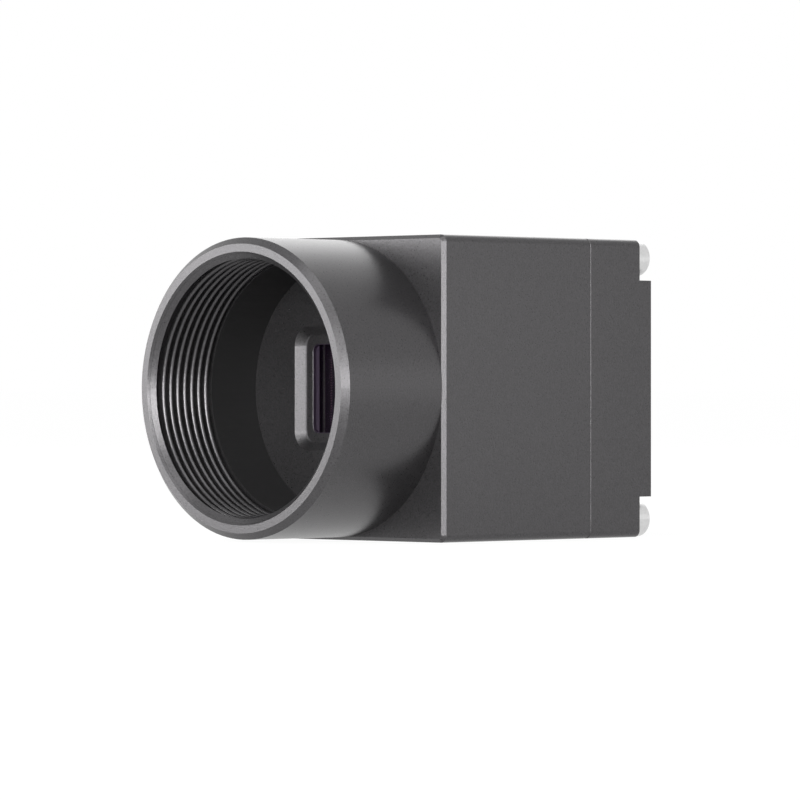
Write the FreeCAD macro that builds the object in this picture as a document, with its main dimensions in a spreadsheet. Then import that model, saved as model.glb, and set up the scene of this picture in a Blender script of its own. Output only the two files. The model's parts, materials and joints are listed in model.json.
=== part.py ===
"""Machine vision camera: a 29 mm square metal camera with a 1-inch C-mount and a USB socket.

Frame, in millimetres: the origin is the centre of the lens mount's flange face, on the optical
axis. X is to the right as seen from the front, Y runs back into the camera, Z is up. So the lens
points along -Y, and the depth of a plane is its distance behind the flange face.
"""
import FreeCAD, Part
import Sketcher
import math
import os

# ------------------------------------------------------------------ driving sizes
SIZES = {
    # the two halves of the housing
    "edge_radius": 0.7,           # long edges of both halves
    "face_chamfer": 0.35,         # outline of the front face
    "seam_chamfer": 0.12,         # both sides of the seam
    "panel_chamfer": 0.15,        # outline of the rear panel
    "front_length": 20.2,         # front face to the seam
    "rear_length": 7.1,           # seam to the seats of the case screws
    "rear_raise": 1.8,            # rear panel over those seats
    "wall": 1.8,                  # side walls
    "rear_wall": 1.8,             # rear panel
    "post_side": 4.1,             # corner posts, measured from the outside
    "screw_seat": 3.95,           # side of a case screw's corner seat
    "lip_length": 1.2,            # locating lips of the rear half, ahead of the seam
    "lip_root": 1.5,              # their root behind the seam
    "lip_thickness": 0.8,
    "lip_width": 16.0,
    "lip_play": 0.1,
    # lens mount
    "mount_reach": 12.7,          # flange face to front face
    "thread_diameter": 25.4,      # major diameter of the 1"-32 thread
    "mount_wall": 1.55,           # metal round the thread
    "mount_border": 0.25,         # face beyond the mount, on all four sides
    "mount_chamfer": 0.6,         # outer edge of the flange face
    "thread_bevel": 0.2,          # lead-in of the thread
    "thread_length": 7.8,
    "bore_step": 0.45,            # plain bore behind the thread, smaller all round
    # optical stack, measured forward from the image plane
    "flange_focal": 17.526,       # flange face to image plane
    "die_recess": 0.7,            # package rim ahead of the image plane
    "lid_thickness": 0.5,
    "seal_thickness": 0.426,
    "filter_thickness": 1.0,
    "window_lip": 0.4,            # rim that the filter rests on
    "window_bevel": 0.8,          # 45 degree bevel round the window
    # the image sensor and its window
    "active_width": 8.45,
    "active_height": 7.07,
    "window_margin": 0.72,        # opening beyond the active area
    "window_radius": 0.65,
    "window_break": 0.08,         # broken edge of the opening
    "ledge_width": 0.95,          # flat between opening and bevel
    "ledge_radius": 1.1,
    "filter_overlap": 0.7,        # filter glass beyond the opening
    "filter_radius": 0.8,
    "seal_overlap": 0.5,          # seal over the filter's edge
    "seal_width": 1.5,
    "glass_play": 0.05,
    "die_margin": 0.55,           # silicon beyond the active area
    "die_thickness": 0.3,
    "cavity_margin": 0.8,         # package cavity beyond the silicon
    "package_rim": 1.2,           # ceramic round that cavity
    "package_play": 0.2,
    "package_base": 1.0,          # ceramic behind the silicon
    "lid_inset": 0.3,             # lid inside the package outline
    # circuit boards and their spacers
    "board_side_play": 0.3,       # board to side wall
    "board_post_play": 0.15,      # board to corner post
    "board_thickness": 1.2,
    "screw_play": 0.1,            # clearance holes for the stack screws, all round
    "spacer_edge_x": 2.6,         # screw axis from the board's edges
    "spacer_edge_z": 1.75,
    "spacer_across": 3.2,         # hexagon across flats
    "spacer_length": 5.0,
    "stack_thread": 2.0,          # M2
    "stack_shank": 1.94,
    "stack_grip": 2.0,            # thread in the bulkhead
    "thread_spare": 0.5,          # tapped holes deeper than their screws
    "stack_head": 3.6,
    "stack_head_height": 1.2,
    "stack_socket": 1.5,          # hexagon across flats
    "stack_socket_depth": 0.6,
    # case screws, M2 socket heads
    "case_screw_inset": 1.75,     # screw axis from both outer faces
    "case_thread": 2.0,
    "case_shank": 1.94,
    "case_clearance": 2.2,
    "case_head": 3.45,
    "case_head_height": 1.5,
    "case_socket": 1.5,           # hexagon across flats
    "case_socket_depth": 0.9,
    "case_grip": 5.5,             # length of thread in the front half
    # M3 mounting holes
    "base_thread": 3.0,
    "base_hole_depth": 3.0,
    "base_spacing_x": 18.0,
    "base_spacing_y": 12.0,
    "base_first": 3.0,            # first pair behind the front face
    "top_spacing_x": 12.0,
    "base_pad": 4.8,              # side of the pads under the rear pair
    "base_pad_roof": 0.6,         # metal over the hole
    # data socket
    "usb_z": -5.8,
    "usb_main_width": 8.2,
    "usb_main_height": 3.0,
    "usb_side_width": 5.0,
    "usb_side_height": 2.4,
    "usb_radius": 0.6,
    "usb_wall": 0.35,
    "usb_play": 0.2,              # shell in the rear panel
    "usb_recess": 0.25,           # shell below the rear panel's face
    "usb_base": 3.0,              # moulding behind the tongues
    "insert_play": 0.03,          # mouldings in their shells
    "usb_tongue_width": 5.4,
    "usb_side_tongue_width": 2.6,
    "usb_tongue_thickness": 0.7,
    "usb_tongue_length": 4.6,
    "usb_contact_width": 0.26,
    "usb_contact_thickness": 0.08,
    "usb_contact_length": 3.2,
    "usb_contact_pitch": 0.65,
    "usb_side_pitch": 0.5,
    # M2 threads for the plug's locking screws
    "lock_spacing": 18.0,
    "lock_thread": 2.0,
    "lock_depth": 3.5,
    "lock_boss": 4.2,
    "lock_boss_length": 2.4,
    # round power and trigger socket
    "io_x": -3.6,
    "io_z": 5.4,
    "io_barrel": 9.0,
    "io_bore": 7.2,
    "io_throat": 6.2,             # bore behind the insert
    "io_flange": 11.2,
    "io_flange_thickness": 1.0,
    "io_reach": 3.6,              # barrel past the rear panel
    "io_play": 0.1,
    "io_nut_across": 11.0,
    "io_nut_thickness": 1.5,
    "io_insert_thickness": 2.0,
    "io_pin": 0.5,
    "io_pin_play": 0.02,
    "io_pin_circle": 4.0,
    "io_pin_reach": 2.6,          # pins past the insert
    # status light
    "led_x": 2.2,                 # inward of the stack screw beside it
    "led_z": 3.1,                 # below that screw
    "led_width": 2.0,
    "led_height": 1.25,
    "led_thickness": 0.8,
    "pipe_diameter": 2.4,
    "pipe_play": 0.05,
    "pipe_collar": 3.4,
    "pipe_collar_thickness": 0.8,
    "pipe_gap": 0.15,             # between light and pipe
    # board-to-board connectors
    "link_width": 11.0,
    "link_height": 2.8,
    "link_edge": 1.65,            # its middle from the board's edge
    "link_slot_width": 9.8,
    "link_slot_height": 1.2,
    "link_slot_depth": 1.6,
    "link_socket_share": 3.2,     # height of the socket half
    "link_play": 0.1,
    # cooling plate of the processor
    "pad_side": 10.0,
    "pad_thickness": 0.5,
    "plate_play": 0.7,            # plate to spacer
    "plate_thickness": 0.8,
    "plate_flange": 2.0,          # folded forward along the side walls
}

# electronic components: board face, centre x, centre z, width, height, thickness
COMPONENTS = {
    "processor_chip": ("processor_front", 0.0, 0.0, 11.0, 11.0, 1.2),
    "memory_chip_1": ("processor_rear", -3.4, 3.0, 5.6, 9.0, 1.0),
    "memory_chip_2": ("processor_rear", 3.4, 3.0, 5.6, 9.0, 1.0),
    "flash_chip": ("processor_rear", -3.4, -3.7, 6.0, 3.8, 0.8),
    "oscillator": ("processor_rear", 1.6, -3.6, 2.5, 2.0, 0.7),
    "power_inductor_1": ("processor_rear", 5.2, -3.8, 3.0, 3.0, 1.5),
    "power_inductor_2": ("processor_rear", 9.0, -2.6, 3.0, 3.0, 1.5),
    "power_inductor_3": ("processor_rear", -9.0, 2.6, 3.0, 3.0, 1.5),
    "power_regulator_1": ("sensor_rear", -8.6, 2.2, 3.0, 3.0, 0.8),
    "power_regulator_2": ("sensor_rear", 8.6, 2.2, 3.0, 3.0, 0.8),
    "usb_controller": ("interface_front", -1.5, 2.6, 8.0, 8.0, 1.2),
    "io_isolator": ("interface_front", 7.4, 0.5, 5.0, 4.0, 1.6),
}

# rows of small capacitors: board face, first x, z, step between them
CAPACITOR_ROWS = {
    "sensor_capacitors": ("sensor_rear", -6.0, -4.6, 2.4),
    "processor_capacitors": ("processor_front", -6.0, -7.6, 2.4),
    "interface_capacitors": ("interface_front", -4.8, -4.4, 2.4),
}
IN_ROW = {"sensor_capacitors": 6, "processor_capacitors": 6, "interface_capacitors": 5}
CAPACITOR = {"capacitor_width": 1.0, "capacitor_height": 0.55, "capacitor_thickness": 0.5}

USB_CONTACTS = 5
IO_PINS = 6
IO_PIN_STEP = 360 / IO_PINS       # degrees between the pins
ROUND_SIDES = 12                  # hidden pins, shanks and their holes are prisms of 12 sides
CLOSE = 1e-5                      # two places nearer than this are the same

# ------------------------------------------------------------------ document and sheet
doc = FreeCAD.newDocument("VisionCamera")
sheet = doc.addObject("Spreadsheet::Sheet", "Sizes")
all_sizes = dict(SIZES)
all_sizes.update(CAPACITOR)
for name, (face, x, z, width, height, thickness) in COMPONENTS.items():
    all_sizes[name + "_x"] = x
    all_sizes[name + "_z"] = z
    all_sizes[name + "_width"] = width
    all_sizes[name + "_height"] = height
    all_sizes[name + "_thickness"] = thickness
for name, (face, x, z, step) in CAPACITOR_ROWS.items():
    all_sizes[name + "_x"] = x
    all_sizes[name + "_z"] = z
    all_sizes[name + "_step"] = step
for row, (alias, value) in enumerate(all_sizes.items(), start=1):
    sheet.set("A%d" % row, alias)
    sheet.set("B%d" % row, str(value))
    sheet.setAlias("B%d" % row, alias)
doc.recompute()


def size(expression):
    """Write an expression of bare aliases in the form that other objects read."""
    words = []
    for word in expression.replace("(", "( ").replace(")", " )").split():
        bare = word.lstrip("-")
        sign = word[:len(word) - len(bare)]
        words.append(sign + "Sizes." + bare if bare in all_sizes else word)
    return " ".join(words)


def number(expression):
    """The present value of an expression."""
    return float(sheet.evalExpression(size(expression)))


# ------------------------------------------------------------------ depths and places
HALF_SIDE = "(thread_diameter / 2 + mount_wall + mount_border)"
HALF_CAVITY = "(%s - wall)" % HALF_SIDE
POST_EDGE = "(%s - post_side)" % HALF_SIDE
SCREW_AXIS = "(%s - case_screw_inset)" % HALF_SIDE
HALF_BOARD_X = "(%s - board_side_play)" % HALF_CAVITY
HALF_BOARD_Z = "(%s - board_post_play)" % POST_EDGE
SPACER_X = "(%s - spacer_edge_x)" % HALF_BOARD_X
SPACER_Z = "(%s - spacer_edge_z)" % HALF_BOARD_Z
LINK_Z = "(%s - link_edge)" % HALF_BOARD_Z
LED_X = "(%s - led_x)" % SPACER_X
LED_Z = "(%s - led_z)" % SPACER_Z

FRONT_FACE = "(mount_reach)"
SEAM = "(mount_reach + front_length)"
SCREW_SEAT = "(mount_reach + front_length + rear_length)"
BACK = "(mount_reach + front_length + rear_length + rear_raise)"
INNER_BACK = "(%s - rear_wall)" % BACK

DIE_BACK = "(flange_focal + die_thickness)"
PACKAGE_BACK = "(%s + package_base)" % DIE_BACK
PACKAGE_FRONT = "(flange_focal - die_recess)"
LID_FRONT = "(%s - lid_thickness)" % PACKAGE_FRONT
FILTER_BACK = "(%s - seal_thickness)" % LID_FRONT
FILTER_FRONT = "(%s - filter_thickness)" % FILTER_BACK
LEDGE = "(%s - window_lip)" % FILTER_FRONT
BULKHEAD_FRONT = "(%s - window_bevel)" % LEDGE

SENSOR_REAR = "(%s + board_thickness)" % PACKAGE_BACK
PROCESSOR_FRONT = "(%s + spacer_length)" % SENSOR_REAR
PROCESSOR_REAR = "(%s + board_thickness)" % PROCESSOR_FRONT
INTERFACE_FRONT = "(%s + spacer_length)" % PROCESSOR_REAR
INTERFACE_REAR = "(%s + board_thickness)" % INTERFACE_FRONT

# depth of each board face, and the way its components stand: 1 is towards the rear
BOARD_FACES = {
    "sensor_rear": (SENSOR_REAR, 1),
    "processor_front": (PROCESSOR_FRONT, -1),
    "processor_rear": (PROCESSOR_REAR, 1),
    "interface_front": (INTERFACE_FRONT, -1),
}

WINDOW_WIDTH = "(active_width + 2 * window_margin)"
WINDOW_HEIGHT = "(active_height + 2 * window_margin)"
LEDGE_WIDTH = "(%s + 2 * ledge_width)" % WINDOW_WIDTH
LEDGE_HEIGHT = "(%s + 2 * ledge_width)" % WINDOW_HEIGHT
FILTER_WIDTH = "(%s + 2 * filter_overlap)" % WINDOW_WIDTH
FILTER_HEIGHT = "(%s + 2 * filter_overlap)" % WINDOW_HEIGHT
DIE_WIDTH = "(active_width + 2 * die_margin)"
DIE_HEIGHT = "(active_height + 2 * die_margin)"
PACKAGE_WIDTH = "(%s + 2 * cavity_margin + 2 * package_rim)" % DIE_WIDTH
PACKAGE_HEIGHT = "(%s + 2 * cavity_margin + 2 * package_rim)" % DIE_HEIGHT

FOUR_CORNERS = ((1, 1), (-1, 1), (-1, -1), (1, -1))
TOWARDS_REAR = FreeCAD.Rotation(FreeCAD.Vector(1, 0, 0), -90)    # turns +Z to +Y


def signed(sign, expression):
    """The expression, or its negative."""
    return expression if sign > 0 else "-1 * " + expression


# ------------------------------------------------------------------ sketches
def new_body(name, x="0", depth="0", z="0"):
    """A body whose own origin lies at the given place."""
    body = doc.addObject("PartDesign::Body", name)
    body.Label = name
    body.setExpression("Placement.Base.x", size(x))
    body.setExpression("Placement.Base.y", size(depth))
    body.setExpression("Placement.Base.z", size(z))
    doc.recompute()
    return body


def new_sketch(body, role, offset):
    """A sketch on one of the body's own planes, moved along the plane's normal."""
    sketch = body.newObject("Sketcher::SketchObject", body.Name + "_sketch")
    planes = [feature for feature in body.Origin.OriginFeatures if feature.Role == role]
    sketch.AttachmentSupport = (planes[0], [""])
    sketch.MapMode = "FlatFace"
    sketch.setExpression("AttachmentOffset.Base.z", size(offset))
    return sketch


def facing_sketch(body, depth="0"):
    """A sketch across the optical axis; its normal points forward, along -Y."""
    return new_sketch(body, "XZ_Plane", "-1 * (%s)" % depth)


def pin(sketch, element, point, x=None, z=None):
    """Hold a point of the sketch at expressions x and z from the sketch's origin."""
    for kind, axis, expression in (("DistanceX", -2, x), ("DistanceY", -1, z)):
        if expression is None:
            continue
        if expression == "0":
            sketch.addConstraint(Sketcher.Constraint("PointOnObject", element, point, axis))
            continue
        constraint = Sketcher.Constraint(kind, -1, 1, element, point, number(expression))
        index = sketch.addConstraint(constraint)
        sketch.setExpression("Constraints[%d]" % index, size(expression))


def circle(sketch, diameter, x="0", z="0"):
    """A circle of the given diameter about (x, z)."""
    centre = FreeCAD.Vector(number(x), number(z), 0)
    normal = FreeCAD.Vector(0, 0, 1)
    element = sketch.addGeometry(Part.Circle(centre, normal, number(diameter) / 2), False)
    constraint = Sketcher.Constraint("Diameter", element, number(diameter))
    index = sketch.addConstraint(constraint)
    sketch.setExpression("Constraints[%d]" % index, size(diameter))
    pin(sketch, element, 3, x, z)


def rectangle(sketch, width, height, x="0", z="0"):
    """A rectangle about (x, z)."""
    left = "%s - %s / 2" % (x, width)
    right = "%s + %s / 2" % (x, width)
    low = "%s - %s / 2" % (z, height)
    high = "%s + %s / 2" % (z, height)
    corners = [(left, low), (right, low), (right, high), (left, high)]
    points = [FreeCAD.Vector(number(a), number(b), 0) for a, b in corners]
    lines = []
    for index in range(4):
        line = Part.LineSegment(points[index], points[(index + 1) % 4])
        lines.append(sketch.addGeometry(line, False))
    for index in range(4):
        follower = lines[(index + 1) % 4]
        sketch.addConstraint(Sketcher.Constraint("Coincident", lines[index], 2, follower, 1))
        kind = "Vertical" if index % 2 else "Horizontal"
        sketch.addConstraint(Sketcher.Constraint(kind, lines[index]))
    pin(sketch, lines[0], 1, left, low)
    pin(sketch, lines[2], 1, right, high)


def rounded_rectangle(sketch, width, height, radius, x="0", z="0"):
    """A rectangle about (x, z) whose corners are arcs of one radius."""
    low_x, high_x = number("%s - %s / 2" % (x, width)), number("%s + %s / 2" % (x, width))
    low_z, high_z = number("%s - %s / 2" % (z, height)), number("%s + %s / 2" % (z, height))
    bend = number(radius)
    ends = [
        ((low_x + bend, low_z), (high_x - bend, low_z)),
        ((high_x, low_z + bend), (high_x, high_z - bend)),
        ((high_x - bend, high_z), (low_x + bend, high_z)),
        ((low_x, high_z - bend), (low_x, low_z + bend)),
    ]
    centres = [(high_x - bend, low_z + bend), (high_x - bend, high_z - bend),
               (low_x + bend, high_z - bend), (low_x + bend, low_z + bend)]
    quarter = math.pi / 2
    lines, arcs = [], []
    for index in range(4):
        start, end = [FreeCAD.Vector(a, b, 0) for a, b in ends[index]]
        lines.append(sketch.addGeometry(Part.LineSegment(start, end), False))
        centre = FreeCAD.Vector(centres[index][0], centres[index][1], 0)
        whole = Part.Circle(centre, FreeCAD.Vector(0, 0, 1), bend)
        first = (index - 1) * quarter
        arc = Part.ArcOfCircle(whole, first, first + quarter)
        arcs.append(sketch.addGeometry(arc, False))
    for index in range(4):
        follower = lines[(index + 1) % 4]
        sketch.addConstraint(Sketcher.Constraint("Tangent", lines[index], 2, arcs[index], 1))
        sketch.addConstraint(Sketcher.Constraint("Tangent", arcs[index], 2, follower, 1))
        kind = "Vertical" if index % 2 else "Horizontal"
        sketch.addConstraint(Sketcher.Constraint(kind, lines[index]))
    for arc in arcs[1:]:
        sketch.addConstraint(Sketcher.Constraint("Equal", arcs[0], arc))
    index = sketch.addConstraint(Sketcher.Constraint("Radius", arcs[0], bend))
    sketch.setExpression("Constraints[%d]" % index, size(radius))
    pin(sketch, lines[0], 1, z="%s - %s / 2" % (z, height))
    pin(sketch, lines[1], 1, x="%s + %s / 2" % (x, width))
    pin(sketch, lines[2], 1, z="%s + %s / 2" % (z, height))
    pin(sketch, lines[3], 1, x="%s - %s / 2" % (x, width))


# ------------------------------------------------------------------ features
def extrude(body, kind, sketch, length, reverse):
    """Add a Pad or Pocket and make sure that it did add or remove metal."""
    before = 0.0 if body.Tip is None else body.Tip.Shape.Volume
    feature = body.newObject("PartDesign::" + kind, body.Name + "_" + kind.lower())
    feature.Profile = sketch
    feature.setExpression("Length", size(length))
    feature.Reversed = reverse
    sketch.Visibility = False
    doc.recompute()
    change = feature.Shape.Volume - before
    if (kind == "Pad") != (change > 0) or abs(change) < CLOSE:
        raise RuntimeError("%s changed the volume by %g" % (feature.Name, change))
    return feature


def pad(body, sketch, length):
    """Pad a facing sketch towards the rear."""
    return extrude(body, "Pad", sketch, length, True)


def pocket(body, sketch, length, forward=False):
    """Cut a facing sketch towards the rear, or forward."""
    return extrude(body, "Pocket", sketch, length, forward)


def faces_at_depth(shape, depth):
    """Names of the flat faces that lie across the axis at a depth of the body's own frame."""
    names = []
    for index, face in enumerate(shape.Faces, start=1):
        box = face.BoundBox
        if abs(box.YMin - depth) < CLOSE and abs(box.YMax - depth) < CLOSE:
            names.append("Face%d" % index)
    return names


def chamfer(body, names, leg):
    """Chamfer the named edges, or every edge of the named faces, at 45 degrees."""
    base = body.Tip
    feature = body.newObject("PartDesign::Chamfer", body.Name + "_chamfer")
    feature.Base = (base, names)
    feature.setExpression("Size", size(leg))
    doc.recompute()
    return feature


def around_axis(body, feature, count=4):
    """Repeat a feature evenly round the body's own Y axis."""
    pattern = body.newObject("PartDesign::PolarPattern", body.Name + "_pattern")
    axes = [axis for axis in body.Origin.OriginFeatures if axis.Role == "Y_Axis"]
    pattern.Originals = [feature]
    pattern.Axis = (axes[0], [""])
    pattern.Angle = 360
    pattern.Occurrences = count
    body.Tip = pattern
    doc.recompute()
    return pattern


# ------------------------------------------------------------------ primitives
def place(thing, x, depth, z):
    """Bind a primitive's place to expressions."""
    thing.setExpression("Placement.Base.x", size(x))
    thing.setExpression("Placement.Base.y", size(depth))
    thing.setExpression("Placement.Base.z", size(z))


def box(name, x, z, width, height, depth, thickness):
    """A box about (x, z) that starts at a depth and runs back."""
    thing = doc.addObject("Part::Box", name)
    thing.Label = name
    thing.setExpression("Length", size(width))
    thing.setExpression("Width", size(thickness))
    thing.setExpression("Height", size(height))
    place(thing, "%s - %s / 2" % (x, width), depth, "%s - %s / 2" % (z, height))
    return thing


def rod(name, x, z, diameter, depth, length):
    """A cylinder about (x, z) that starts at a depth and runs back."""
    thing = doc.addObject("Part::Cylinder", name)
    thing.Label = name
    thing.Placement = FreeCAD.Placement(FreeCAD.Vector(), TOWARDS_REAR)
    thing.setExpression("Radius", size("%s / 2" % diameter))
    thing.setExpression("Height", size(length))
    place(thing, x, depth, z)
    return thing


def prism(name, x, z, radius, sides, depth, length):
    """A regular prism about (x, z), with its corners at a radius, that runs back."""
    thing = doc.addObject("Part::Prism", name)
    thing.Label = name
    thing.Polygon = sides
    thing.Placement = FreeCAD.Placement(FreeCAD.Vector(), TOWARDS_REAR)
    thing.setExpression("Circumradius", size(radius))
    thing.setExpression("Height", size(length))
    place(thing, x, depth, z)
    return thing


def hexagon(name, x, z, across, depth, length):
    """A hexagonal bar about (x, z) with flats above and below."""
    return prism(name, x, z, "%s / 2 / cos( 30 deg )" % across, 6, depth, length)


def fuse(name, members):
    """One solid from several."""
    thing = doc.addObject("Part::MultiFuse", name)
    thing.Label = name
    thing.Shapes = members
    thing.Refine = True
    return thing


def cut(name, base, tool):
    """A solid with another taken out of it."""
    thing = doc.addObject("Part::Cut", name)
    thing.Label = name
    thing.Base = base
    thing.Tool = tool
    return thing


def group(name, members):
    """Identical pieces kept together as separate solids."""
    thing = doc.addObject("Part::Compound", name)
    thing.Label = name
    thing.Links = members
    return thing


def socket_screw(name, x, z, seat, head, head_height, socket, socket_depth, shank, length):
    """A socket-head screw put in from the rear: head behind the seat, shank ahead of it."""
    head_rod = rod(name + "_head", x, z, head, seat, head_height)
    shank_bar = prism(name + "_shank", x, z, "(%s / 2)" % shank, ROUND_SIDES,
                      "%s - %s" % (seat, length), length)
    blank = fuse(name + "_blank", [head_rod, shank_bar])
    bottom = "%s + %s - %s" % (seat, head_height, socket_depth)
    return cut(name, blank, hexagon(name + "_socket", x, z, socket, bottom, socket_depth))


nodes = []


# ------------------------------------------------------------------ front half of the housing
def make_front_housing():
    """The milled front half: lens mount, bulkhead with the sensor window, and four walls."""
    body = new_body("front_housing")
    outline = facing_sketch(body, FRONT_FACE)
    rounded_rectangle(outline, "(2 * %s)" % HALF_SIDE, "(2 * %s)" % HALF_SIDE, "edge_radius")
    block = pad(body, outline, "front_length")
    chamfer(body, faces_at_depth(block.Shape, number(FRONT_FACE)), "face_chamfer")
    chamfer(body, faces_at_depth(body.Tip.Shape, number(SEAM)), "seam_chamfer")

    ring = facing_sketch(body)
    circle(ring, "(thread_diameter + 2 * mount_wall)")
    collar = pad(body, ring, FRONT_FACE)
    chamfer(body, faces_at_depth(collar.Shape, 0.0), "mount_chamfer")

    bore = facing_sketch(body)
    circle(bore, "(thread_diameter - 2 * bore_step)")
    pocket(body, bore, BULKHEAD_FRONT)
    thread = facing_sketch(body)
    circle(thread, "thread_diameter")
    pocket(body, thread, "thread_length")
    mouth = [
        "Edge%d" % index for index, edge in enumerate(body.Tip.Shape.Edges, start=1)
        if edge.BoundBox.YMax < CLOSE
        and abs(edge.BoundBox.XLength - number("thread_diameter")) < CLOSE
    ]
    chamfer(body, mouth, "thread_bevel")

    bevel = facing_sketch(body, BULKHEAD_FRONT)
    rounded_rectangle(bevel, "(%s + 2 * window_bevel)" % LEDGE_WIDTH,
                      "(%s + 2 * window_bevel)" % LEDGE_HEIGHT, "(ledge_radius + window_bevel)")
    frame = pocket(body, bevel, "window_bevel")
    frame.TaperAngle = -45
    opening = facing_sketch(body, LEDGE)
    rounded_rectangle(opening, WINDOW_WIDTH, WINDOW_HEIGHT, "window_radius")
    cut_through = pocket(body, opening, "%s - %s" % (PACKAGE_BACK, LEDGE))
    half_width = number("%s / 2" % WINDOW_WIDTH) + CLOSE
    rim = [
        "Edge%d" % index for index, edge in enumerate(cut_through.Shape.Edges, start=1)
        if abs(edge.BoundBox.YMin - number(LEDGE)) < CLOSE
        and abs(edge.BoundBox.YMax - number(LEDGE)) < CLOSE
        and max(-edge.BoundBox.XMin, edge.BoundBox.XMax) < half_width
    ]
    chamfer(body, rim, "window_break")
    seat = facing_sketch(body, FILTER_FRONT)
    rectangle(seat, "(%s + 2 * glass_play)" % FILTER_WIDTH, "(%s + 2 * glass_play)" % FILTER_HEIGHT)
    pocket(body, seat, "%s - %s" % (PACKAGE_BACK, FILTER_FRONT))
    nest = facing_sketch(body, FILTER_BACK)
    rectangle(nest, "(%s + 2 * package_play)" % PACKAGE_WIDTH,
              "(%s + 2 * package_play)" % PACKAGE_HEIGHT)
    pocket(body, nest, "%s - %s" % (PACKAGE_BACK, FILTER_BACK))

    hollow_between_posts(body, PACKAGE_BACK, SEAM)

    pads = facing_sketch(body, "%s + base_first + base_spacing_y - base_pad / 2" % FRONT_FACE)
    for side in (1, -1):
        width = "(%s - base_spacing_x / 2 + base_pad / 2)" % POST_EDGE
        middle = "(%s - %s / 2)" % (POST_EDGE, width)
        height = "(base_hole_depth + base_pad_roof - wall)"
        rectangle(pads, width, height, signed(side, middle), "(%s / 2 - %s)" % (height, HALF_CAVITY))
    pad(body, pads, "base_pad")

    first = "(%s + base_first)" % FRONT_FACE
    second = "(%s + base_first + base_spacing_y)" % FRONT_FACE
    below = new_sketch(body, "XY_Plane", "-1 * " + HALF_SIDE)
    above = new_sketch(body, "XY_Plane", HALF_SIDE)
    for side in (1, -1):
        across = signed(side, "base_spacing_x / 2")
        circle(below, "base_thread", across, first)
        circle(below, "base_thread", across, second)
        circle(above, "base_thread", signed(side, "top_spacing_x / 2"), first)
    extrude(body, "Pocket", below, "base_hole_depth", True)
    extrude(body, "Pocket", above, "base_hole_depth", False)

    tapped = facing_sketch(body, PACKAGE_BACK)
    for side_x, side_z in FOUR_CORNERS:
        circle(tapped, "stack_thread", signed(side_x, SPACER_X), signed(side_z, SPACER_Z))
    pocket(body, tapped, "stack_grip + thread_spare", forward=True)

    post = facing_sketch(body, SEAM)
    circle(post, "case_thread", SCREW_AXIS, SCREW_AXIS)
    around_axis(body, pocket(body, post, "case_grip + thread_spare", forward=True))
    nodes.append(body)


def hollow_between_posts(body, start, end):
    """Hollow a housing half between its walls, leaving a post in each corner."""
    for width, height in ((HALF_CAVITY, POST_EDGE), (POST_EDGE, HALF_CAVITY)):
        cavity = facing_sketch(body, start)
        rectangle(cavity, "(2 * %s)" % width, "(2 * %s)" % height)
        pocket(body, cavity, "%s - %s" % (end, start))


# ------------------------------------------------------------------ rear half of the housing
def make_rear_housing():
    """The rear half: a shallow cap with corner seats for the screws and the connector panel."""
    body = new_body("rear_housing")
    outline = facing_sketch(body, SEAM)
    rounded_rectangle(outline, "(2 * %s)" % HALF_SIDE, "(2 * %s)" % HALF_SIDE, "edge_radius")
    block = pad(body, outline, "rear_length + rear_raise")
    chamfer(body, faces_at_depth(block.Shape, number(SEAM)), "seam_chamfer")

    corner = facing_sketch(body, BACK)
    reach = "(2 * screw_seat)"
    middle = "(%s - screw_seat + %s / 2)" % (HALF_SIDE, reach)
    rounded_rectangle(corner, reach, reach, "(screw_seat - case_screw_inset)", middle, middle)
    around_axis(body, pocket(body, corner, "rear_raise", forward=True))
    chamfer(body, faces_at_depth(body.Tip.Shape, number(BACK)), "panel_chamfer")

    hollow_between_posts(body, SEAM, INNER_BACK)

    lip_z = "(%s - lip_play - lip_thickness / 2)" % HALF_CAVITY
    root_height = "(lip_thickness + lip_play)"
    root_z = "(%s - %s / 2)" % (HALF_CAVITY, root_height)
    roots = facing_sketch(body, SEAM)
    lips = facing_sketch(body, "%s - lip_length" % SEAM)
    for side in (1, -1):
        rectangle(roots, "lip_width", root_height, "0", signed(side, root_z))
        rectangle(lips, "lip_width", "lip_thickness", "0", signed(side, lip_z))
    pad(body, roots, "lip_root")
    pad(body, lips, "lip_length + lip_root")

    bosses = facing_sketch(body, "%s - lock_boss_length" % INNER_BACK)
    for side in (1, -1):
        circle(bosses, "lock_boss", signed(side, "lock_spacing / 2"), "usb_z")
    pad(body, bosses, "lock_boss_length")

    panel = facing_sketch(body, BACK)
    circle(panel, "(io_barrel + 2 * io_play)", "io_x", "io_z")
    circle(panel, "(pipe_diameter + 2 * pipe_play)", LED_X, LED_Z)
    rounded_rectangle(panel, "(%s + 2 * usb_play)" % USB_WIDTH, "(usb_main_height + 2 * usb_play)",
                      "(usb_radius + usb_play)", "0", "usb_z")
    pocket(body, panel, "rear_wall", forward=True)
    locks = facing_sketch(body, BACK)
    for side in (1, -1):
        circle(locks, "lock_thread", signed(side, "lock_spacing / 2"), "usb_z")
    pocket(body, locks, "lock_depth", forward=True)

    clearance = facing_sketch(body, SCREW_SEAT)
    circle(clearance, "case_clearance", SCREW_AXIS, SCREW_AXIS)
    around_axis(body, pocket(body, clearance, "rear_length", forward=True))
    nodes.append(body)


def make_case_screws():
    """Four long screws hold the rear half to the posts of the front half."""
    screws = []
    for index, (side_x, side_z) in enumerate(FOUR_CORNERS, start=1):
        screws.append(socket_screw(
            "case_screw_%d" % index, signed(side_x, SCREW_AXIS), signed(side_z, SCREW_AXIS),
            SCREW_SEAT, "case_head", "case_head_height", "case_socket", "case_socket_depth",
            "case_shank", "(rear_length + case_grip)"))
    nodes.append(group("case_screws", screws))


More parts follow.
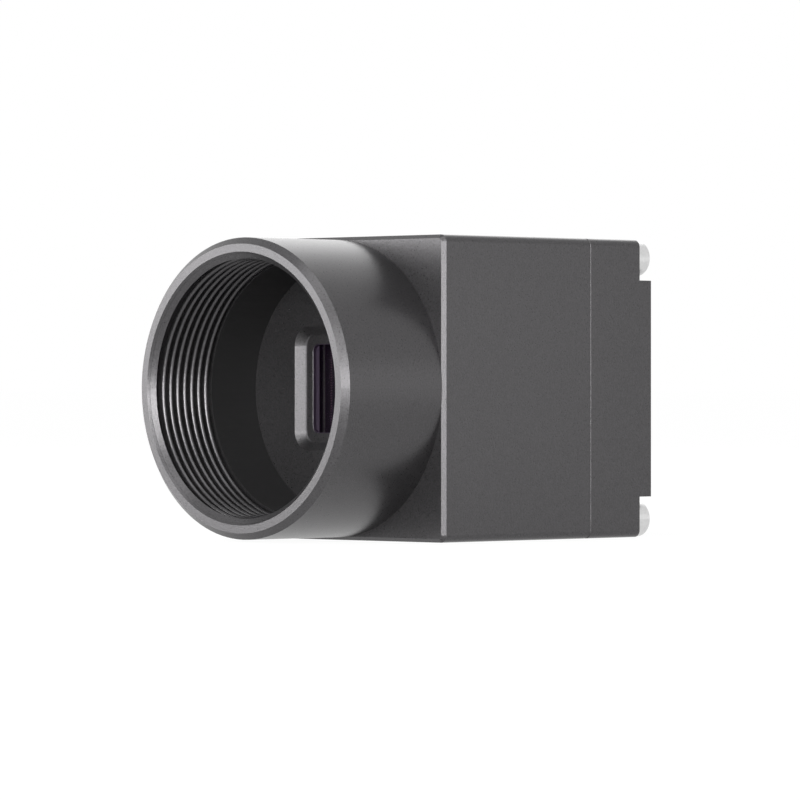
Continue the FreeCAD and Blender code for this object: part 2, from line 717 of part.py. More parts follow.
# ------------------------------------------------------------------ optical stack
def make_filter_glass():
    """The filter glass that seals the sensor window from behind."""
    nodes.append(box("filter_glass", "0", "0", FILTER_WIDTH, FILTER_HEIGHT,
                     FILTER_FRONT, "filter_thickness"))


def make_dust_seal():
    """A soft frame between the filter glass and the sensor's lid."""
    inner_width = "(%s - 2 * seal_overlap)" % FILTER_WIDTH
    inner_height = "(%s - 2 * seal_overlap)" % FILTER_HEIGHT
    body = new_body("dust_seal", depth=FILTER_BACK)
    outline = facing_sketch(body)
    rectangle(outline, "(%s + 2 * seal_width)" % inner_width,
              "(%s + 2 * seal_width)" % inner_height)
    rectangle(outline, inner_width, inner_height)
    pad(body, outline, "seal_thickness")
    nodes.append(body)


def make_image_sensor():
    """The image sensor: ceramic package, silicon and glass lid."""
    body = new_body("sensor_package", depth=PACKAGE_FRONT)
    outline = facing_sketch(body)
    rectangle(outline, PACKAGE_WIDTH, PACKAGE_HEIGHT)
    pad(body, outline, "die_recess + die_thickness + package_base")
    well = facing_sketch(body)
    rectangle(well, "(%s + 2 * cavity_margin)" % DIE_WIDTH, "(%s + 2 * cavity_margin)" % DIE_HEIGHT)
    pocket(body, well, "die_recess + die_thickness")
    nodes.append(body)
    nodes.append(box("sensor_die", "0", "0", DIE_WIDTH, DIE_HEIGHT,
                     "flange_focal", "die_thickness"))
    nodes.append(box("sensor_lid", "0", "0", "(%s - 2 * lid_inset)" % PACKAGE_WIDTH,
                     "(%s - 2 * lid_inset)" % PACKAGE_HEIGHT, LID_FRONT, "lid_thickness"))


# ------------------------------------------------------------------ board stack
def stack_hole(name, x, z, start, length):
    """A clearance hole for a stack screw, through a board or a spacer."""
    return prism(name, x, z, "(stack_thread / 2 + screw_play)", ROUND_SIDES, start, length)


def make_board(name, front):
    """A circuit board with clearance holes for the stack screws."""
    blank = box(name + "_blank", "0", "0", "(2 * %s)" % HALF_BOARD_X, "(2 * %s)" % HALF_BOARD_Z,
                front, "board_thickness")
    holes = [
        stack_hole("%s_hole_%d" % (name, index), signed(side_x, SPACER_X),
                   signed(side_z, SPACER_Z), front, "board_thickness")
        for index, (side_x, side_z) in enumerate(FOUR_CORNERS, start=1)
    ]
    nodes.append(cut(name, blank, group(name + "_holes", holes)))


def make_spacers(name, start):
    """Hexagonal spacers, bored through for the stack screws."""
    for index, (side_x, side_z) in enumerate(FOUR_CORNERS, start=1):
        label = "%s_%d" % (name, index)
        x = signed(side_x, SPACER_X)
        z = signed(side_z, SPACER_Z)
        bar = hexagon(label + "_bar", x, z, "spacer_across", start, "spacer_length")
        hole = stack_hole(label + "_hole", x, z, start, "spacer_length")
        nodes.append(cut(label, bar, hole))


def make_stack_screws():
    """Four long screws pass through the boards and spacers into the bulkhead."""
    screws = []
    length = "(%s - %s + stack_grip)" % (INTERFACE_REAR, PACKAGE_BACK)
    for index, (side_x, side_z) in enumerate(FOUR_CORNERS, start=1):
        screws.append(socket_screw(
            "stack_screw_%d" % index, signed(side_x, SPACER_X), signed(side_z, SPACER_Z),
            INTERFACE_REAR, "stack_head", "stack_head_height", "stack_socket",
            "stack_socket_depth", "stack_shank", length))
    nodes.append(group("stack_screws", screws))


def make_link(name, front, z):
    """A board-to-board connector: a slotted socket, and a plug whose tongue fits the slot."""
    meet = "(%s + link_socket_share)" % front
    shell = box(name + "_socket_shell", "0", z, "link_width", "link_height",
                front, "link_socket_share")
    slot = box(name + "_socket_slot", "0", z, "link_slot_width", "link_slot_height",
               "%s - link_slot_depth" % meet, "link_slot_depth")
    nodes.append(cut(name + "_socket", shell, slot))
    base = box(name + "_plug_base", "0", z, "link_width", "link_height",
               meet, "(spacer_length - link_socket_share)")
    tongue = box(name + "_plug_tongue", "0", z, "(link_slot_width - 2 * link_play)",
                 "(link_slot_height - 2 * link_play)",
                 "%s - link_slot_depth + link_play" % meet, "(link_slot_depth - link_play)")
    nodes.append(fuse(name + "_plug", [base, tongue]))


def make_components():
    """The larger components, one node each, and the rows of small capacitors."""
    for name, values in COMPONENTS.items():
        plane, way = BOARD_FACES[values[0]]
        thickness = name + "_thickness"
        start = plane if way > 0 else "%s - %s" % (plane, thickness)
        nodes.append(box(name, name + "_x", name + "_z", name + "_width", name + "_height",
                         start, thickness))
    for name, values in CAPACITOR_ROWS.items():
        plane, way = BOARD_FACES[values[0]]
        start = plane if way > 0 else "%s - capacitor_thickness" % plane
        row = []
        for index in range(IN_ROW[name]):
            x = "(%s_x + %d * %s_step)" % (name, index, name)
            row.append(box("%s_%d" % (name, index + 1), x, name + "_z", "capacitor_width",
                           "capacitor_height", start, "capacitor_thickness"))
        nodes.append(group(name, row))


def make_cooling():
    """A soft pad and a folded plate carry the processor's heat to the side walls."""
    chip_face = "(%s - processor_chip_thickness)" % PROCESSOR_FRONT
    plate_back = "(%s - pad_thickness)" % chip_face
    plate_front = "(%s - plate_thickness)" % plate_back
    height = "(2 * (%s - spacer_across / 2 - plate_play))" % SPACER_Z
    nodes.append(box("thermal_pad", "0", "0", "pad_side", "pad_side", plate_back, "pad_thickness"))
    middle = box("heat_spreader_plate", "0", "0", "(2 * %s)" % HALF_CAVITY, height,
                 plate_front, "plate_thickness")
    flange_x = "(%s - plate_thickness / 2)" % HALF_CAVITY
    flanges = [
        box("heat_spreader_flange_%d" % index, signed(side, flange_x), "0", "plate_thickness",
            height, "%s - plate_flange" % plate_front, "(plate_flange + plate_thickness)")
        for index, side in enumerate((1, -1), start=1)
    ]
    nodes.append(fuse("heat_spreader", [middle] + flanges))


# ------------------------------------------------------------------ data socket
USB_WIDTH = "(usb_main_width + usb_side_width - usb_wall)"
USB_MAIN_X = "(usb_main_width / 2 - %s / 2)" % USB_WIDTH
USB_SIDE_X = "(%s / 2 - usb_side_width / 2)" % USB_WIDTH
USB_LENGTH = "(%s - usb_recess - %s)" % (BACK, INTERFACE_REAR)


def make_usb_shell():
    """The pressed metal shell of the data socket, with its wide and its narrow chamber."""
    body = new_body("usb_shell", depth=INTERFACE_REAR, z="usb_z")
    chambers = (("usb_main_width", "usb_main_height", USB_MAIN_X),
                ("usb_side_width", "usb_side_height", USB_SIDE_X))
    for width, height, x in chambers:
        outline = facing_sketch(body)
        rounded_rectangle(outline, width, height, "usb_radius", x)
        pad(body, outline, USB_LENGTH)
    for width, height, x in chambers:
        chamber = facing_sketch(body)
        rectangle(chamber, "(%s - 2 * usb_wall)" % width, "(%s - 2 * usb_wall)" % height, x)
        pocket(body, chamber, USB_LENGTH)
    nodes.append(body)


def make_usb_insert():
    """The moulding inside the shell, with a tongue in each chamber, and its contacts."""
    gap = "(usb_wall + insert_play)"
    tongue_start = "(%s + usb_base)" % INTERFACE_REAR
    chambers = (
        ("main", "usb_main_width", "usb_main_height", USB_MAIN_X, "usb_tongue_width",
         "usb_contact_pitch"),
        ("side", "usb_side_width", "usb_side_height", USB_SIDE_X, "usb_side_tongue_width",
         "usb_side_pitch"),
    )
    contacts = []
    for label, width, height, x, tongue_width, pitch in chambers:
        body = new_body("usb_insert_" + label, x, INTERFACE_REAR, "usb_z")
        outline = facing_sketch(body)
        rectangle(outline, "(%s - 2 * %s)" % (width, gap), "(%s - 2 * %s)" % (height, gap))
        pad(body, outline, "usb_base")
        tongue = facing_sketch(body)
        rectangle(tongue, tongue_width, "usb_tongue_thickness")
        pad(body, tongue, "(usb_base + usb_tongue_length)")
        nodes.append(body)
        for index in range(USB_CONTACTS):
            across = "(%s + %d * %s)" % (x, index - USB_CONTACTS // 2, pitch)
            above = "(usb_z + usb_tongue_thickness / 2 + usb_contact_thickness / 2)"
            contacts.append(box(
                "usb_contact_%s_%d" % (label, index + 1), across, above, "usb_contact_width",
                "usb_contact_thickness", "%s + usb_tongue_length - usb_contact_length" % tongue_start,
                "usb_contact_length"))
    nodes.append(group("usb_contacts", contacts))


# ------------------------------------------------------------------ round socket and light
def make_io_socket():
    """The round power and trigger socket: barrel, nut, insulator and pins."""
    flange_front = "(%s - io_flange_thickness)" % INNER_BACK
    barrel_back = "(%s + io_reach)" % BACK
    insert_front = "(%s)" % INNER_BACK
    body = new_body("io_shell", "io_x", flange_front, "io_z")
    flange = facing_sketch(body)
    circle(flange, "io_flange")
    pad(body, flange, "io_flange_thickness")
    barrel = facing_sketch(body)
    circle(barrel, "io_barrel")
    pad(body, barrel, "%s - %s" % (barrel_back, flange_front))
    throat = facing_sketch(body)
    circle(throat, "io_throat")
    pocket(body, throat, "%s - %s" % (barrel_back, flange_front))
    bore = facing_sketch(body, "io_flange_thickness")
    circle(bore, "io_bore")
    pocket(body, bore, "%s - %s" % (barrel_back, INNER_BACK))
    nodes.append(body)

    blank = hexagon("io_nut_blank", "io_x", "io_z", "io_nut_across", BACK, "io_nut_thickness")
    hole = rod("io_nut_hole", "io_x", "io_z", "(io_barrel + io_play)", BACK, "io_nut_thickness")
    nodes.append(cut("io_nut", blank, hole))

    insert = new_body("io_insert", "io_x", insert_front, "io_z")
    disc = facing_sketch(insert)
    circle(disc, "(io_bore - 2 * insert_play)")
    pad(insert, disc, "io_insert_thickness")
    hole = facing_sketch(insert)
    side = "(io_pin + 2 * io_pin_play)"
    rectangle(hole, side, side, "(io_pin_circle / 2)")
    around_axis(insert, pocket(insert, hole, "io_insert_thickness"), IO_PINS)
    nodes.append(insert)

    pins = []
    length = "(%s + io_insert_thickness + io_pin_reach - %s)" % (insert_front, INTERFACE_REAR)
    for index in range(IO_PINS):
        angle = "%g deg" % (index * IO_PIN_STEP)
        x = "(io_x + io_pin_circle / 2 * cos( %s ))" % angle
        z = "(io_z + io_pin_circle / 2 * sin( %s ))" % angle
        pins.append(prism("io_pin_%d" % (index + 1), x, z, "(io_pin / 2)", ROUND_SIDES,
                          INTERFACE_REAR, length))
    nodes.append(group("io_pins", pins))


def make_status_light():
    """A light on the interface board, and the clear pipe that shows it at the rear."""
    nodes.append(box("status_led", LED_X, LED_Z, "led_width", "led_height",
                     INTERFACE_REAR, "led_thickness"))
    start = "(%s + led_thickness + pipe_gap)" % INTERFACE_REAR
    stem = rod("status_light_stem", LED_X, LED_Z, "pipe_diameter", start,
               "%s - %s" % (BACK, start))
    collar = rod("status_light_collar", LED_X, LED_Z, "pipe_collar",
                 "%s - pipe_collar_thickness" % INNER_BACK, "pipe_collar_thickness")
    nodes.append(fuse("status_light_pipe", [stem, collar]))


# ------------------------------------------------------------------ build, check and write
make_front_housing()
make_rear_housing()
make_case_screws()
make_filter_glass()
make_dust_seal()
make_image_sensor()
make_board("sensor_board", PACKAGE_BACK)
make_board("processor_board", PROCESSOR_FRONT)
make_board("interface_board", INTERFACE_FRONT)
make_spacers("front_spacer", SENSOR_REAR)
make_spacers("rear_spacer", PROCESSOR_REAR)
make_stack_screws()
make_link("sensor_link", SENSOR_REAR, LINK_Z)
make_link("interface_link", PROCESSOR_REAR, "-1 * " + LINK_Z)
make_components()
make_cooling()
make_usb_shell()
make_usb_insert()
make_io_socket()
make_status_light()
doc.recompute()

for thing in doc.Objects:
    if "Invalid" in thing.State or "Error" in thing.State:
        raise RuntimeError("%s failed: %s" % (thing.Name, thing.State))
for node in nodes:
    if node.Shape.isNull() or not node.Shape.isValid() or not node.Shape.Solids:
        raise RuntimeError("%s has no valid solid" % node.Label)

os.makedirs("parts", exist_ok=True)
for node in nodes:
    node.Shape.exportStep("parts/%s.step" % node.Label)
print("%d nodes, %d solids" % (len(nodes), sum(len(node.Shape.Solids) for node in nodes)))
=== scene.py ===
# %% [markdown]
# # A machine vision camera, dressed for a picture
#
# The camera is a 29 mm square block of black anodised aluminium with a round lens mount in
# front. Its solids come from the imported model, and this script gives them their finishes, adds
# the turns of thread and other fine detail, and sets up the studio. The origin is the centre of
# the lens mount's front face, Y runs back into the camera and Z is up. Blender works in metres,
# so a size that is given in millimetres is multiplied by MM.

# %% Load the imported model
import bpy
import json
import math
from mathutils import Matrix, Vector


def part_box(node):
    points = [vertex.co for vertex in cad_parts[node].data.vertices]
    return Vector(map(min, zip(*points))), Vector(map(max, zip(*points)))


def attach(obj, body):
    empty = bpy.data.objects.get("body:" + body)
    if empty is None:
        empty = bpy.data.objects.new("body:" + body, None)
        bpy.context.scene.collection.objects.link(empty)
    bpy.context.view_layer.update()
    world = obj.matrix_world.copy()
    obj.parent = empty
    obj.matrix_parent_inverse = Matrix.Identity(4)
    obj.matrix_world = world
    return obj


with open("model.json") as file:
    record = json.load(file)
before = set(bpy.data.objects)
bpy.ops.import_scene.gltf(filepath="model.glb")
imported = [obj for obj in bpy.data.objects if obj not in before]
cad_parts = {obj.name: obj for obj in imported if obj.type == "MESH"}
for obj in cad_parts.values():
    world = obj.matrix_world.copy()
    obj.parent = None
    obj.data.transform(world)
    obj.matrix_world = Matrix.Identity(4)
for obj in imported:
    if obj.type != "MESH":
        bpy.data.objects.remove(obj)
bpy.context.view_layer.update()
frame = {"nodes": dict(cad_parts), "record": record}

MM = 0.001


def in_mm(box):
    """The two corners of a box, in millimetres."""
    return [[value / MM for value in corner] for corner in box]


def rounded(values, digits=2):
    """A point with short numbers, for printing."""
    return [round(value, digits) for value in values]


# %% [markdown]
# ## Places that the rest of the script needs
#
# A size that is typed in again would have to be changed twice. So the places are read from the
# model: where the two halves of the housing meet, where the rear panel lies, and how far the
# square body reaches from the optical axis.

# %% Places read from the model
front_low, front_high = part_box("front_housing")
half_side = front_high[0]
seam = front_high[1]
base = front_low[2]
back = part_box("rear_housing")[1][1]
print("half side %.2f, seam %.2f, back %.2f mm" % (half_side / MM, seam / MM, back / MM))

# %% [markdown]
# ## How a finish is built
#
# One flat colour looks like plastic film. Real surfaces have a grain: blasted metal is covered in
# tiny pits, moulded plastic has a faint texture, a circuit board has a weave under its lacquer.
# A picture wrapped round the part could show this, but it would stretch at the edges and need
# its own file. Noise that is worked out from each point's own place in metres has neither
# problem, so every finish below mixes its colour and gloss from noise, and its relief where it
# has one.

# %% A helper that builds one finish
NOISE_LOW, NOISE_HIGH = 0.3, 0.7  # nearly all of the noise lies between these


def new_finish(name, colour, roughness, grain, spread, relief=0.0, metallic=0.0,
               gloss_spread=0.08, detail=3.0, **sockets):
    """A finish whose colour, gloss and relief vary; grain and relief are in millimetres."""
    material = bpy.data.materials.new(name)
    material.use_nodes = True
    nodes, links = material.node_tree.nodes, material.node_tree.links
    shader = nodes["Principled BSDF"]
    place = nodes.new("ShaderNodeTexCoord")
    noise = nodes.new("ShaderNodeTexNoise")
    noise.inputs["Scale"].default_value = 1.0 / (grain * MM)
    noise.inputs["Detail"].default_value = detail
    links.new(place.outputs["Object"], noise.inputs["Vector"])
    tint = nodes.new("ShaderNodeValToRGB")
    dark, pale = tint.color_ramp.elements[0], tint.color_ramp.elements[1]
    dark.position, pale.position = NOISE_LOW, NOISE_HIGH
    dark.color = [part * (1 - spread) for part in colour] + [1]
    pale.color = [part * (1 + spread) for part in colour] + [1]
    links.new(noise.outputs["Fac"], tint.inputs["Fac"])
    links.new(tint.outputs["Color"], shader.inputs["Base Color"])
    gloss = nodes.new("ShaderNodeMapRange")
    gloss.inputs["To Min"].default_value = max(roughness - gloss_spread, 0.0)
    gloss.inputs["To Max"].default_value = roughness + gloss_spread
    links.new(noise.outputs["Fac"], gloss.inputs["Value"])
    links.new(gloss.outputs["Result"], shader.inputs["Roughness"])
    if relief:
        bump = nodes.new("ShaderNodeBump")
        bump.inputs["Distance"].default_value = relief * MM
        links.new(noise.outputs["Fac"], bump.inputs["Height"])
        links.new(bump.outputs["Normal"], shader.inputs["Normal"])
    shader.inputs["Metallic"].default_value = metallic
    for socket, value in sockets.items():
        shader.inputs[socket.replace("_", " ")].default_value = value
    return material


print("made a helper whose finishes vary with noise from %.1f to %.1f" % (NOISE_LOW, NOISE_HIGH))

# %% [markdown]
# ## The housing's black anodised skin
#
# The housing is milled, blasted with fine grit and then anodised black. The blasting leaves pits
# about a sixth of a millimetre across, which break every highlight into fine speckle. A plain
# black plastic shader gives the right grey in the highlights, but its body colour lights up the
# inside of the bore, which is nearly black on the real thing. The skin is thin and dark and
# clings to polished metal, so most of what it shows is a soft, dim reflection. A shader that is
# mostly metallic with a dark colour behaves the same way: pale where a lamp is mirrored, and
# nearly black where there is nothing bright to mirror.

# %% The anodised skin
finishes = {}
finishes["housing"] = new_finish("anodised_black", (0.070, 0.0678, 0.0705), 0.30, grain=0.16,
                                 spread=0.18, relief=0.008, metallic=0.66, gloss_spread=0.07,
                                 detail=2.0, IOR=1.5)
print("made", finishes["housing"].name)

# %% [markdown]
# ## Finishes of the other pieces
#
# Each piece of the model names a material slot in its record, such as the nickel-plated screws
# or the boards' green lacquer. One finish per slot keeps pieces of one kind alike. The tables
# give colour, roughness and the size of the grain.

# %% Finishes of the metal pieces
metal_finishes = {
    "case_steel": ((0.62, 0.62, 0.62), 0.32, 0.25),
    "stack_steel": ((0.62, 0.62, 0.63), 0.35, 0.2),
    "spacer_brass": ((0.72, 0.66, 0.52), 0.32, 0.3),
    "plain_aluminium": ((0.66, 0.67, 0.68), 0.38, 0.4),
    "socket_steel": ((0.66, 0.66, 0.67), 0.26, 0.3),
    "socket_metal": ((0.50, 0.50, 0.51), 0.34, 0.2),
    "contact_gold": ((0.86, 0.62, 0.22), 0.22, 0.1),
    "oscillator_can": ((0.66, 0.66, 0.64), 0.25, 0.2),
}
for slot, (colour, roughness, grain) in metal_finishes.items():
    finishes[slot] = new_finish(slot, colour, roughness, grain, spread=0.06, relief=0.002,
                                metallic=1.0)
print(len(metal_finishes), "metal finishes")

# %% Finishes of the plastic, rubber and ceramic pieces
dull_finishes = {
    "seal": ((0.012, 0.012, 0.012), 0.75, 0.3),
    "thermal": ((0.30, 0.38, 0.44), 0.80, 0.2),
    "ceramic": ((0.014, 0.010, 0.016), 0.60, 0.15),
    "socket_plastic": ((0.012, 0.012, 0.012), 0.50, 0.12),
    "link_plastic": ((0.55, 0.48, 0.34), 0.55, 0.15),
    "capacitor": ((0.24, 0.14, 0.075), 0.50, 0.1),
    "inductor": ((0.028, 0.028, 0.030), 0.65, 0.1),
    "chip_plastic": ((0.010, 0.010, 0.011), 0.52, 0.12),
}
for slot, (colour, roughness, grain) in dull_finishes.items():
    finishes[slot] = new_finish(slot, colour, roughness, grain, spread=0.12, relief=0.004)
print(len(dull_finishes), "dull finishes")

# %% [markdown]
# ## Glass, silicon, lacquer and light
#
# The filter glass has a coating that lets visible light in and throws back the rest, which gives
# it a purple cast. A solid block of transmitting glass would bend the light twice and lose the
# thin lines of the sensor behind it. The panes are thin and flat, so most of what they do is
# tint, and a part-transparent purple skin shows that more cleanly. The image sensor is polished
# silicon. The boards are glass cloth under green lacquer. The light pipe is clear plastic, and
# the status light behind it is a milky one.

# %% Finishes that let light through or carry a lacquer
clear_finishes = {
    "filter": dict(colour=(0.030, 0.012, 0.040), roughness=0.04, grain=2.0, spread=0.08,
                   gloss_spread=0.01, IOR=1.52, Alpha=0.08),
    "clear_glass": dict(colour=(0.030, 0.030, 0.030), roughness=0.02, grain=2.0, spread=0.02,
                        gloss_spread=0.01, IOR=1.5, Alpha=0.06),
    "light_pipe": dict(colour=(0.86, 0.89, 0.88), roughness=0.18, grain=0.6, spread=0.03,
                       Transmission_Weight=0.7, IOR=1.49),
    "light_source": dict(colour=(0.70, 0.74, 0.60), roughness=0.20, grain=0.4, spread=0.08,
                         Transmission_Weight=0.3),
    "silicon": dict(colour=(0.010, 0.007, 0.013), roughness=0.10, grain=1.5, spread=0.15,
                    gloss_spread=0.03, IOR=2.2),
    "circuit_board": dict(colour=(0.006, 0.062, 0.026), roughness=0.35, grain=0.5, spread=0.25,
                          relief=0.01, Coat_Weight=0.5),
}
for slot, look in clear_finishes.items():
    finishes[slot] = new_finish(slot, **look)
print("clear, polished and lacquered:", sorted(clear_finishes))

# %% [markdown]
# ## Finishes of the fine detail
#
# The lines and thin sheets that are modelled further down need tones of their own: the dark edge
# round the filter glass, the painted reflection in the seal's inner wall, the dull reddish metal
# of the sensor's well and its fingers, and the near-black painted shade in the bore. The record
# has no slots for them, so the pieces further down name these finishes themselves.

# %% Linings, edges and the painted shade in the bore
fine_finishes = {
    "filter_edge": dict(colour=(0.027, 0.015, 0.034), roughness=0.50, grain=0.3, spread=0.12,
                        relief=0.002),
    # pale grey and matt: a painted reflection for the seal's polished inner wall
    "seal_lining": dict(colour=(0.13, 0.125, 0.12), roughness=0.55, grain=0.2, spread=0.2,
                        relief=0.002),
    "well_lining": dict(colour=(0.095, 0.050, 0.075), roughness=0.45, grain=0.2, spread=0.2,
                        relief=0.002),
    # near-black and matt: painted shade for the bore behind the thread
    "bore_black": dict(colour=(0.013, 0.0125, 0.0132), roughness=0.62, grain=0.12, spread=0.15,
                       relief=0.004),
}
for name, look in fine_finishes.items():
    finishes[name] = new_finish(name, **look)
print("fine detail:", sorted(fine_finishes))

# %% [markdown]
# ## The finishes go on
#
# The record says which slot each node of the model has. A node could be given its finish by
# hand, but with some fifty of them a loop leaves none out.

# %% Give every node of the model its finish
slot_of = {piece["node"]: piece["material_slot"] for piece in frame["record"]["subparts"]}
for name, node in frame["nodes"].items():
    node.data.materials.clear()
    node.data.materials.append(finishes[slot_of[name]])
print(len(frame["nodes"]), "nodes have a finish")

# %% [markdown]
# ## Modelling helpers
#
# The operators below work as the tools in Blender's edit mode do, on whatever is selected. The
# loaded nodes are selected to begin with, so each piece starts by clearing the selection, and
# where only a part of it is to change, its vertices are picked by where they lie.

# %% Helpers for modelling by hand
def start_piece():
    """Nothing selected, in object mode, ready for a new primitive."""
    if bpy.context.mode != "OBJECT":
        bpy.ops.object.mode_set(mode="OBJECT")
    bpy.ops.object.select_all(action="DESELECT")


def pick_vertices(piece, wanted):
    """In edit mode, select the vertices whose place passes a test, and nothing else."""
    bpy.ops.object.mode_set(mode="EDIT")
    bpy.ops.mesh.select_mode(type="VERT")
    bpy.ops.mesh.select_all(action="DESELECT")
    bpy.ops.object.mode_set(mode="OBJECT")
    for vertex in piece.data.vertices:
        vertex.select = wanted(vertex.co)
    bpy.ops.object.mode_set(mode="EDIT")


def face_outwards():
    """Turn all the faces of the piece in edit mode outwards."""
    bpy.ops.mesh.select_all(action="SELECT")
    bpy.ops.mesh.normals_make_consistent(inside=False)


def finish_piece(piece, name, slot):
    """Name a piece, settle its place in its mesh, give it its finish and let it ride."""
    start_piece()
    piece.select_set(True)
    bpy.context.view_layer.objects.active = piece
    bpy.ops.object.transform_apply(location=True, rotation=True, scale=True)
    piece.name = name
    piece.data.name = name
    piece.data.materials.clear()
    piece.data.materials.append(finishes[slot])
    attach(piece, "root")
    print(name, len(piece.data.polygons), "faces")


print("made helpers to start, pick, turn and finish a piece")

# %% [markdown]
# ## The turns of the lens thread
#
# The thread in the mount is cut with a single-point tool that leaves a spiral ridge with flanks
# at about 60 degrees and a narrow flat crest. The solid has a plain wall there, because turns of
# thread would cost it thousands of faces. The ridge could be painted on as relief, but its
# crests catch the light and hide the wall behind them, so it needs a shape. It is one small
# profile, swept round the axis and along it by a Screw modifier. The sweep leaves both ends
# open, and each is closed with a face.

# %% The ridge of the lens thread
THREAD_RADIUS = 12.7 * MM
RIDGE = 0.43 * MM       # its height over the wall
SUNK = 0.06 * MM        # how far its foot lies in the wall
FOOT = 0.62 * MM        # its width there
CREST_SHARE = 0.16      # the width of the crest as a share of the foot's
PITCH = 0.913 * MM
FIRST_CREST = 1.30 * MM
TURNS = 7
STEPS_PER_TURN = 96

start_piece()
bpy.ops.mesh.primitive_plane_add(size=1.0, location=(0, 0, 0))
thread = bpy.context.object
bpy.ops.object.mode_set(mode="EDIT")
bpy.ops.mesh.delete(type="ONLY_FACE")
bpy.ops.mesh.select_all(action="SELECT")
bpy.ops.transform.resize(value=(RIDGE + SUNK, FOOT, 1))
bpy.ops.transform.translate(value=(THREAD_RADIUS - RIDGE / 2 + SUNK / 2, FIRST_CREST, 0))
pick_vertices(thread, lambda place: place.x < THREAD_RADIUS - RIDGE / 2)
bpy.ops.transform.resize(value=(1, CREST_SHARE, 1),
                         center_override=(THREAD_RADIUS, FIRST_CREST, 0))
bpy.ops.object.mode_set(mode="OBJECT")
sweep = thread.modifiers.new("sweep", "SCREW")
sweep.axis = "Y"
sweep.screw_offset = PITCH
sweep.iterations = TURNS
sweep.steps = STEPS_PER_TURN
sweep.render_steps = STEPS_PER_TURN
sweep.use_merge_vertices = False
bpy.ops.object.modifier_apply(modifier="sweep")
bpy.ops.object.mode_set(mode="EDIT")
bpy.ops.mesh.select_mode(type="EDGE")
bpy.ops.mesh.select_all(action="DESELECT")
bpy.ops.mesh.select_non_manifold(extend=False)
bpy.ops.mesh.edge_face_add()
face_outwards()
bpy.ops.object.mode_set(mode="OBJECT")
depths = [vertex.co.y / MM for vertex in thread.data.vertices]
print("thread runs from %.2f to %.2f mm" % (min(depths), max(depths)))
finish_piece(thread, "mount_thread", "housing")

# %% [markdown]
# ## The lead-in of the thread
#
# A bevel at the mouth, of nearly 45 degrees, guides the lens in. It reaches from the flange face
# down to the crests, and behind it the first groove of the thread begins. The solid's bevel
# stops at the roots, so a ring with a four-sided section carries it on to the crests. A ring
# like this is a small profile spun once round the axis, and its two ends are merged.

# %% The lead-in ring
SPIN_STEPS = 128
WELD = 0.0005 * MM      # points closer than this are merged


def spin_ring(name, profile, slot):
    """A closed ring: a profile of (radius, depth) in millimetres, spun round the Y axis."""
    start_piece()
    bpy.ops.mesh.primitive_circle_add(vertices=len(profile), radius=MM, location=(0, 0, 0))
    ring = bpy.context.object
    for vertex, (radius, depth) in zip(ring.data.vertices, profile):
        vertex.co = (radius * MM, depth * MM, 0)
    bpy.ops.object.mode_set(mode="EDIT")
    bpy.ops.mesh.select_all(action="SELECT")
    bpy.ops.mesh.spin(steps=SPIN_STEPS, angle=2 * math.pi, center=(0, 0, 0), axis=(0, 1, 0))
    bpy.ops.mesh.select_all(action="SELECT")
    bpy.ops.mesh.remove_doubles(threshold=WELD)
    face_outwards()
    finish_piece(ring, name, slot)


root_radius, crest_radius = 12.74, 12.27
spin_ring("thread_lead_in", [(root_radius, 0.19), (crest_radius, 0.63), (crest_radius, 0.70),
                             (root_radius, 0.95)], "housing")

# %% [markdown]
# ## Painted shade in the bore
#
# The bore behind the thread lies in shade and looks darker than the bulkhead at its end. That
# shade is painted on with a near-black matt sleeve. It could be a change of colour by depth in
# the housing's finish, but that would also darken the thread's roots. It is a very thin sleeve,
# spun like the lead-in ring, with its outer half in the wall.

# %% The sleeve of painted shade
BORE_STEP = 0.45            # the bore is this much narrower than the thread's wall
THREAD_END = 7.8            # depth at which the thread's wall ends
BULKHEAD_TO_FILTER = 1.2    # from the bulkhead's face back to the filter glass
END_GAP = 0.01              # between the sleeve and the bulkhead

bore_radius = THREAD_RADIUS / MM - BORE_STEP
bulkhead = in_mm(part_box("filter_glass"))[0][1] - BULKHEAD_TO_FILTER
sleeve_inner, sleeve_outer = bore_radius - 0.04, bore_radius + 0.05
sleeve_front, sleeve_rear = THREAD_END + 0.02, bulkhead - END_GAP
# A near-black sleeve that paints the shade on the bore's wall behind the thread.
spin_ring("bore_shade_sleeve", [(sleeve_inner, sleeve_front), (sleeve_outer, sleeve_front),
                        (sleeve_outer, sleeve_rear), (sleeve_inner, sleeve_rear)], "bore_black")

# %% [markdown]
# ## What shows through the sensor's window
#
# Behind the filter glass lies the sensor: a ceramic package with a shallow well, a row of gold
# fingers on a step in the well, and the silicon with a bright scribe line round its edge. The
# dust seal round the window has a paler front edge where it was cut. Its inner wall is polished
# by the mould, and the reflection in it is painted on as a pale grey lining. These lines are so
# fine that the solids leave them out. Each is a flat frame: a plane, inset by the frame's width,
# without its middle, and given a thickness.

# %% A helper for flat frames
ROUNDING_STEP = 0.2     # a rounded corner has one more facet for each of these


